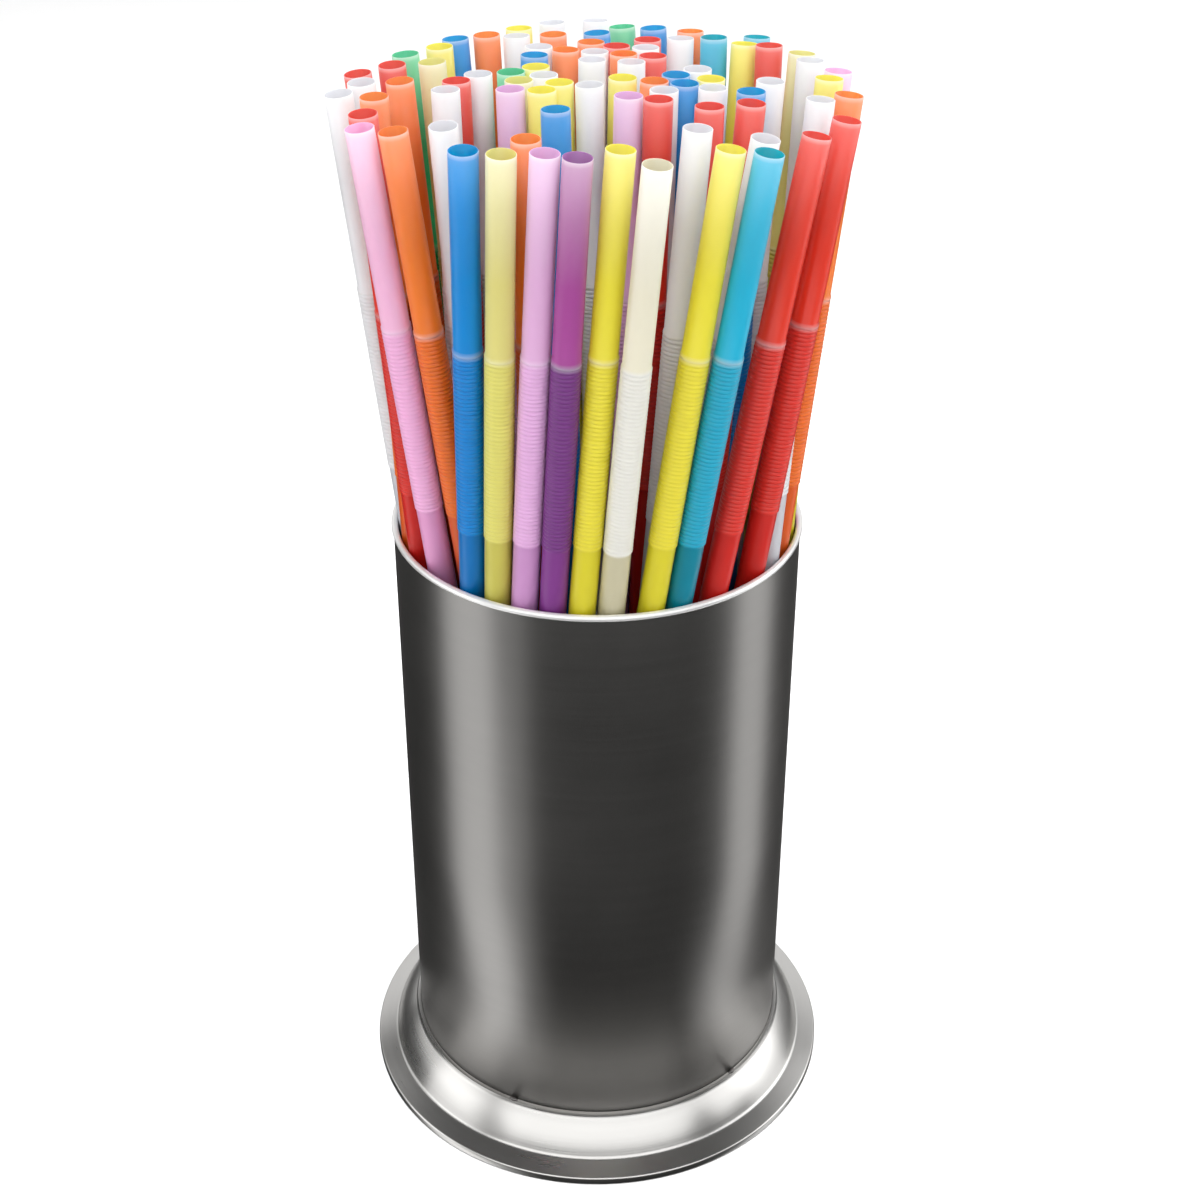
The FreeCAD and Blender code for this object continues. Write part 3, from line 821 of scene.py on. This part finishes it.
@dataclass
class StrawBundle:
    """Bendy straws that stand in the cup, sizes in metres and shares of a rib's pitch."""

    radius: float = 3.0 * MM
    sheet: float = 0.25 * MM
    length: float = STRAW_LENGTH
    neck_radius: float = 3.2 * MM
    neck_start: float = NECK_START
    neck_length: float = NECK_LENGTH
    rib_count: int = 46
    rib_depth: float = 0.20 * MM
    rib_crest: Point = (0.32, 0.68)
    neck_lead: float = 0.3
    ring_crest: Point = (0.3, 0.9)
    ring_end: float = 1.2
    lip_share: float = 0.3
    sides: int = 24
    finishes: dict[StrawColour, bpy.types.Material] = field(default_factory=dict)

    def section(self) -> list[Point]:
        """The section of one straw wall.

        Returns:
            Its points, up the outside with a rib at each pitch, and down the inside.
        """
        lip = self.sheet * self.lip_share
        inside = self.radius - self.sheet
        pitch = self.neck_length / self.rib_count
        groove = self.neck_radius - self.rib_depth
        outside = [(self.radius - lip, 0.0), (self.radius, lip), (self.radius, self.neck_start * 0.5)]
        outside.append((self.radius, self.neck_start - pitch * self.neck_lead))
        for rib in range(self.rib_count):
            low = self.neck_start + rib * pitch
            outside.append((groove, low))
            outside += [(self.neck_radius, low + pitch * share) for share in self.rib_crest]
        neck_end = self.neck_start + self.neck_length
        outside.append((groove, neck_end))
        outside += [(self.neck_radius, neck_end + pitch * share) for share in self.ring_crest]
        outside.append((self.radius, neck_end + pitch * self.ring_end))
        outside.append((self.radius, self.length * 0.92))
        top = [(self.radius, self.length - lip), (self.radius - lip, self.length)]
        back = [(inside + lip, self.length), (inside, self.length - lip)]
        down = [(inside, self.length * share) for share in (0.9, 0.6, 0.3)]
        return outside + top + back + down + [(inside, lip), (inside + lip, 0.0)]

    def pattern(self) -> bpy.types.Object:
        """Model the straw that all the others are copies of, standing at the origin.

        Returns:
            The straw, whose mesh records where each point was before the straw was stood up.
        """
        straw = turned("straw_pattern", self.section(), self.sides)
        record = straw.data.attributes.new(STRAW_RECORD, "FLOAT_VECTOR", "POINT")
        for vertex, entry in zip(straw.data.vertices, record.data):
            entry.vector = vertex.co
        return straw

    def finish(self, colour: StrawColour) -> bpy.types.Material:
        """The material of a colour, made the first time that it is asked for."""
        if colour not in self.finishes:
            self.finishes[colour] = colour.value.material()
        return self.finishes[colour]

    def copy_on(self, pattern: bpy.types.Object, stem: Stem, name: str) -> bpy.types.Object:
        """Stand a copy of the pattern on a line.

        Args:
            pattern: The straw at the origin.
            stem: Where the copy stands.
            name: The copy's name.

        Returns:
            The copy, with its place in its own mesh.
        """
        pick(pattern)
        bpy.ops.object.duplicate()
        straw = bpy.context.active_object
        straw.name = straw.data.name = name
        lean = Vector((0.0, 0.0, 1.0)).rotation_difference(stem.direction)
        straw.matrix_world = Matrix.Translation(stem.foot) @ lean.to_matrix().to_4x4()
        bpy.ops.object.transform_apply(location=True, rotation=True, scale=True)
        return straw

    def build(self, colours: dict[str, Sequence[StrawColour]]) -> None:
        """Model every straw and hand it over.

        Args:
            colours: For each CAD node of the bundle, the colours of its straws in order.
        """
        pattern = self.pattern()
        for node, choices in colours.items():
            for number, (stem, colour) in enumerate(zip(stems_of(node), choices), start=1):
                name = f"bendy_{node}" if len(choices) == 1 else f"bendy_{node}_{number}"
                straw = self.copy_on(pattern, stem, name)
                hand_over(straw, node, colour.value.slot, [node], self.finish(colour))
        bpy.data.objects.remove(pattern, do_unlink=True)


# The colours of the straws, in the order of the solids.
FRONT_ROW = "PINK ORANGE BLUE PRIMROSE LILAC PURPLE YELLOW IVORY YELLOW TEAL WHITE RED RED"
RIM_ROW = ("WHITE ORANGE YELLOW PINK WHITE PRIMROSE RED TEAL TEAL ORANGE BLUE GREEN BLUE "
           "WHITE ORANGE YELLOW ORANGE BLUE YELLOW GREEN RED RED WHITE WHITE ORANGE RED")
MIDDLE_ROW = "WHITE RED WHITE YELLOW WHITE WHITE WHITE PRIMROSE ORANGE WHITE ORANGE"
HANDFULS = (
    "YELLOW LILAC ORANGE RED WHITE BLUE BLUE WHITE RED YELLOW WHITE BLUE",
    "BLUE WHITE ORANGE ORANGE WHITE WHITE RED ORANGE WHITE WHITE RED RED",
    "WHITE RED WHITE GREEN LILAC PRIMROSE YELLOW YELLOW WHITE BLUE YELLOW WHITE",
)


def straw_colours() -> dict[str, list[StrawColour]]:
    """Spread the colours over the solids.

    Returns:
        The colours of every straw, by the CAD node that holds it.
    """
    singles = " ".join((FRONT_ROW, RIM_ROW, MIDDLE_ROW)).split()
    colours = {f"straw_{i:02d}": [StrawColour[word]] for i, word in enumerate(singles, start=1)}
    for number, words in enumerate(HANDFULS, start=1):
        colours[f"inner_straws_{number}"] = [StrawColour[word] for word in words.split()]
    return colours


# The studio


@dataclass(frozen=True)
class Softbox:
    """A plain soft light panel that faces a point."""

    name: str
    place: Triple
    size: Point
    power: float
    aim: Triple = (0.0, 0.0, 0.12)
    mirrored: bool = True

    def hang(self) -> None:
        """Add the light to the scene."""
        data = bpy.data.lights.new(self.name, "AREA")
        data.shape = "RECTANGLE"
        data.size, data.size_y = self.size
        data.energy = self.power
        lamp = bpy.data.objects.new(self.name, data)
        bpy.context.scene.collection.objects.link(lamp)
        lamp.location = self.place
        way = Vector(self.aim) - Vector(self.place)
        lamp.rotation_euler = way.to_track_quat("-Z", "Y").to_euler()
        lamp.visible_glossy = self.mirrored


@dataclass
class Studio:
    """The pale floor, the lights and the camera, sizes in metres and degrees, film in millimetres.

    The tall boxes at the sides reach below the floor, which isn't mirrored and blocks no light,
    because the bands on the cup are their reflections, seen from above. Each point of the sky is a
    share of the climb from straight down to straight up, with the brightness there.
    """

    camera_place: Triple = (0.0, -0.41014, 0.37870)
    camera_pitch: float = 30.653
    focal_length: float = 58.92
    film_width: float = 36.0
    nearest: float = 0.01
    sideways_shift: float = 0.0025
    floor_size: float = 8.0
    floor_tones: tuple[Colour, Colour] = ((0.93, 0.93, 0.93), (0.96, 0.96, 0.96))
    floor_roughness: float = 0.9
    sky: tuple[Point, ...] = (
        (0.0, 0.01), (0.50, 0.03), (0.60, 0.12), (0.75, 0.14), (0.90, 0.06), (1.0, 0.05),
    )
    softboxes: tuple[Softbox, ...] = (
        Softbox("ceiling_bounce", (0.0, -0.1, 1.5), (1.6, 1.6), 38.0, mirrored=False),
        Softbox("front_softbox", (0.0, -1.26, 0.80), (3.2, 1.4), 18.0, aim=(0.0, 0.0, 0.0)),
        Softbox("left_softbox", (-1.169, -0.27, -0.9), (0.72, 3.2), 6.8, aim=(0.0, 0.0, -0.9)),
        Softbox("left_fill", (-0.919, -0.771, -0.9), (0.47, 3.2), 1.1, aim=(0.0, 0.0, -0.9)),
        Softbox("left_foot", (-1.154, -0.331, -1.5), (0.95, 1.0), 1.2, aim=(0.0, 0.0, -1.5)),
        Softbox("left_wall", (-1.3, 0.1, 0.65), (1.5, 1.1), 3.2, aim=(0.0, 0.0, 0.3)),
        Softbox("right_softbox", (1.119, 0.157, -0.9), (0.60, 3.2), 5.3, aim=(0.0, 0.0, -0.9)),
        Softbox("right_wall", (1.3, 0.1, 0.65), (1.8, 1.1), 8.0, aim=(0.0, 0.0, 0.3)),
        Softbox("backdrop", (0.0, 1.6, 0.45), (3.8, 1.3), 11.0, aim=(0.0, 0.0, 0.45)),
    )

    def build(self) -> None:
        """Set up the floor, the lights, the surroundings and the camera."""
        self.lay_floor()
        for softbox in self.softboxes:
            softbox.hang()
        self.surround()
        self.set_camera()

    def lay_floor(self) -> None:
        """Lay a plain pale floor that the steel doesn't mirror."""
        deselect_all()
        bpy.ops.mesh.primitive_plane_add(size=self.floor_size)
        floor = bpy.context.active_object
        floor.name = floor.data.name = "studio_floor"
        floor.visible_glossy = False
        floor.visible_shadow = False
        made = bpy.data.materials.new("pale_floor")
        board = Board(made)
        board.show(board.node("ShaderNodeBsdfPrincipled", None, {
            "Base Color": board.blend(board.noise(FLOOR_CLOUD), *self.floor_tones),
            "Roughness": self.floor_roughness,
        }))
        floor.data.materials.append(made)

    def surround(self) -> None:
        """Surround the scene with soft light that falls off to dark below and overhead."""
        world = bpy.data.worlds.new("studio_air")
        bpy.context.scene.world = world
        board = Board(world)
        way = board.node("ShaderNodeTexCoord", output="Generated")
        height = board.node("ShaderNodeSeparateXYZ", None, {"Vector": way}, output="Z")
        tone = board.ramp(height * 0.5 + 0.5, [(share, (grey, grey, grey)) for share, grey in self.sky])
        light = board.node("ShaderNodeBackground", None, {"Color": tone, "Strength": 1.0})
        board.node("ShaderNodeOutputWorld", None, {"Surface": light})

    def set_camera(self) -> None:
        """Stand the camera where the photograph was taken."""
        data = bpy.data.cameras.new("photo_camera")
        data.sensor_width = self.film_width
        data.lens = self.focal_length
        data.shift_x = self.sideways_shift
        data.clip_start = self.nearest
        camera = bpy.data.objects.new("photo_camera", data)
        bpy.context.scene.collection.objects.link(camera)
        camera.location = self.camera_place
        camera.rotation_euler = (math.radians(90.0 - self.camera_pitch), 0.0, 0.0)
        bpy.context.scene.camera = camera
        bpy.context.scene.view_settings.view_transform = "Standard"


def main() -> None:
    """Build the studio, the holder and the straws in order."""
    logging.basicConfig(level=logging.INFO, format="%(name)s: %(message)s")
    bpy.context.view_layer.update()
    Studio().build()
    Holder().build()
    StrawBundle().build(straw_colours())
    deselect_all()


if __name__ == "__main__":
    main()
